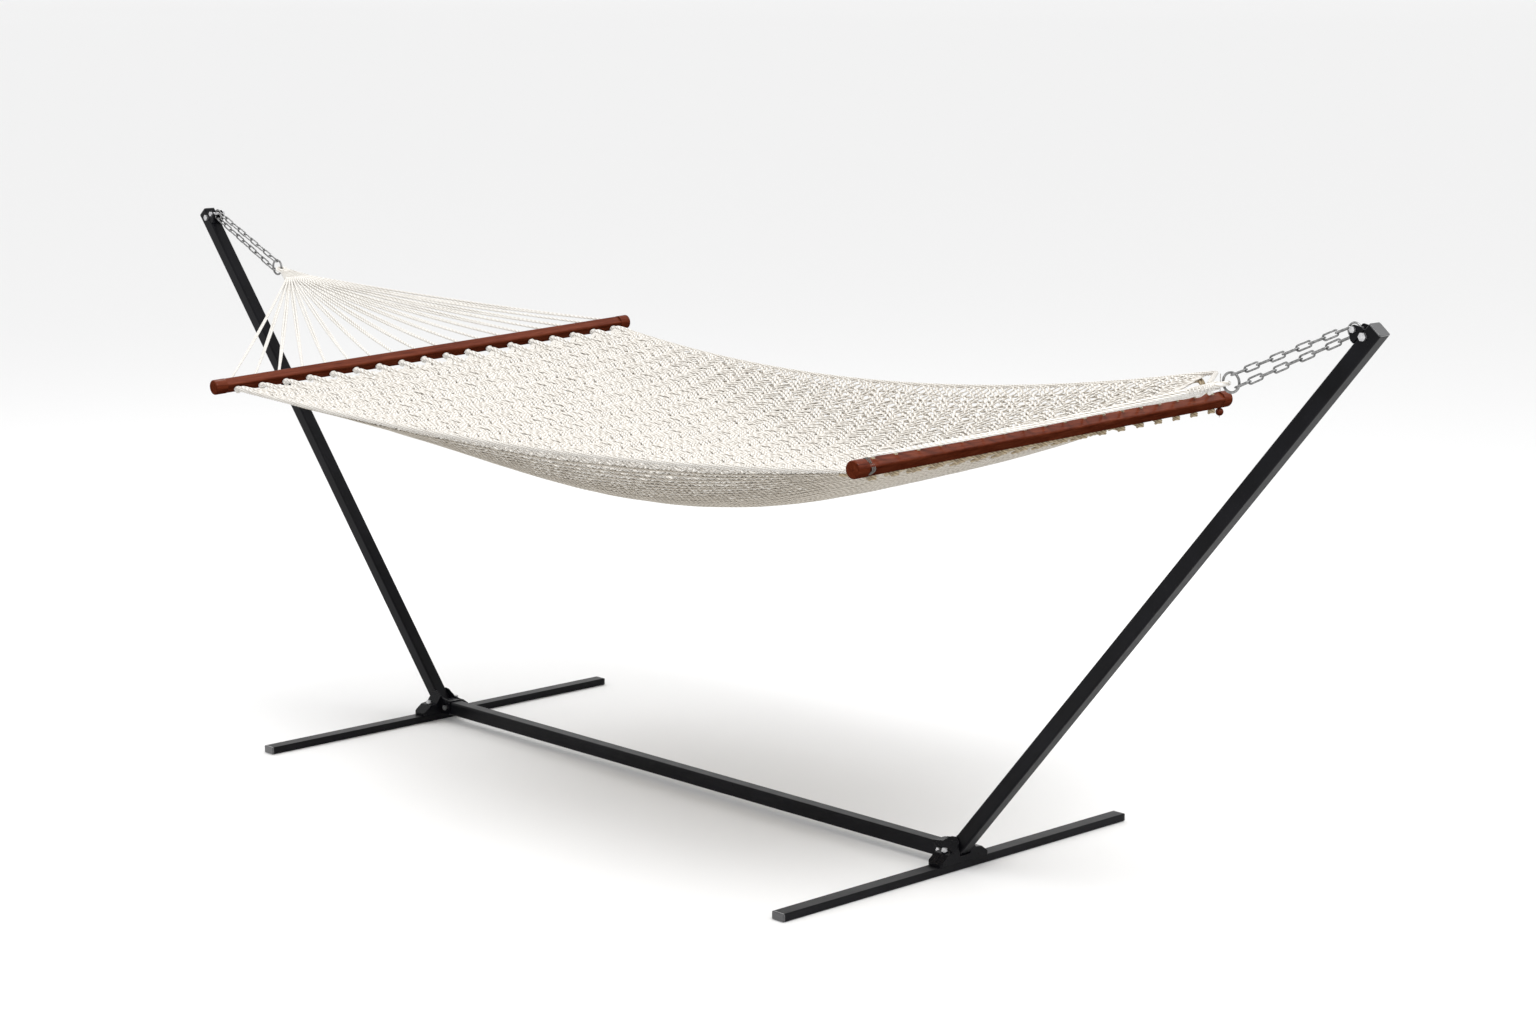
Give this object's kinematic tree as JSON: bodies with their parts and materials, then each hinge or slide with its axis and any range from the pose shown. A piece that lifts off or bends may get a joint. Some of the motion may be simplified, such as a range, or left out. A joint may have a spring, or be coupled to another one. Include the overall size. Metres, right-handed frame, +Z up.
{
  "type": "hammock on stand",
  "caption": "Rope hammock with wooden spreader bars, hung by doubled chains from a black tubular steel stand.",
  "frame": {"origin": "on the ground, under the middle of the base beam", "axes": "+X along the stand towards the right post, +Y across it, +Z up"},
  "size_m": [4.438, 1.4588, 1.4318],
  "materials": {
    "black_steel": "semi-gloss powder coat",
    "black_plastic": "moulded",
    "bolt_zinc": "zinc plated",
    "chain_zinc": "zinc plated",
    "cotton_rope": "twisted cotton",
    "varnished_wood": "varnished"
  },
  "bodies": {
    "stand": {"foot_left": "black_steel", "foot_right": "black_steel", "post_left": "black_steel", "post_right": "black_steel", "post_cap_left": "black_plastic", "post_cap_right": "black_plastic", "bracket_left": "black_steel", "bracket_right": "black_steel", "hanger_left": "black_steel", "hanger_right": "black_steel", "hanger_pin_left": "bolt_zinc", "hanger_pin_right": "bolt_zinc", "foot_cap_left_near": "black_plastic", "foot_cap_left_far": "black_plastic", "foot_cap_right_near": "black_plastic", "foot_cap_right_far": "black_plastic", "base_beam": "black_steel", "bracket_bolts": "bolt_zinc", "bracket_nuts": "bolt_zinc", "wing_bolts": "bolt_zinc", "wing_washers": "bolt_zinc", "hanger_pin_nuts": "bolt_zinc", "lock_bolts": "bolt_zinc", "lock_nuts": "bolt_zinc"},
    "chain_left": {"hook_ring_left": "chain_zinc", "chain_left_upper": "chain_zinc", "chain_left_lower": "chain_zinc", "clew_ring_left": "chain_zinc"},
    "chain_right": {"hook_ring_right": "chain_zinc", "chain_right_upper": "chain_zinc", "chain_right_lower": "chain_zinc", "clew_ring_right": "chain_zinc"},
    "bed": {"clew_eye_left": "cotton_rope", "clew_eye_right": "cotton_rope", "throat_left": "cotton_rope", "throat_right": "cotton_rope", "clew_cords_left": "cotton_rope", "clew_cords_right": "cotton_rope", "bar_left": "varnished_wood", "bar_right": "varnished_wood", "bar_loops_left": "cotton_rope", "bar_loops_right": "cotton_rope", "net": "cotton_rope", "border_near": "cotton_rope", "border_far": "cotton_rope", "tie_bead": "varnished_wood", "tie_cord": "cotton_rope", "end_lashing": "cotton_rope"}
  },
  "joints": [
    {"name": "chain_left_swing", "type": "hinge", "parent": "stand", "child": "chain_left", "pos_m": [-2.151, 0, 1.416], "axis": [1, 0, 0], "range_deg": [-30, 30]},
    {"name": "chain_right_swing", "type": "hinge", "parent": "stand", "child": "chain_right", "pos_m": [2.151, 0, 1.416], "axis": [1, 0, 0], "range_deg": [-30, 30]},
    {"name": "bed_roll", "type": "hinge", "parent": "chain_left", "child": "bed", "pos_m": [-1.824, 0, 1.271], "axis": [1, 0, 0], "range_deg": [-20, 20]}
  ],
  "couplings": [
    {"joint": "chain_right_swing", "follows": "chain_left_swing", "ratio": 1}
  ]
}
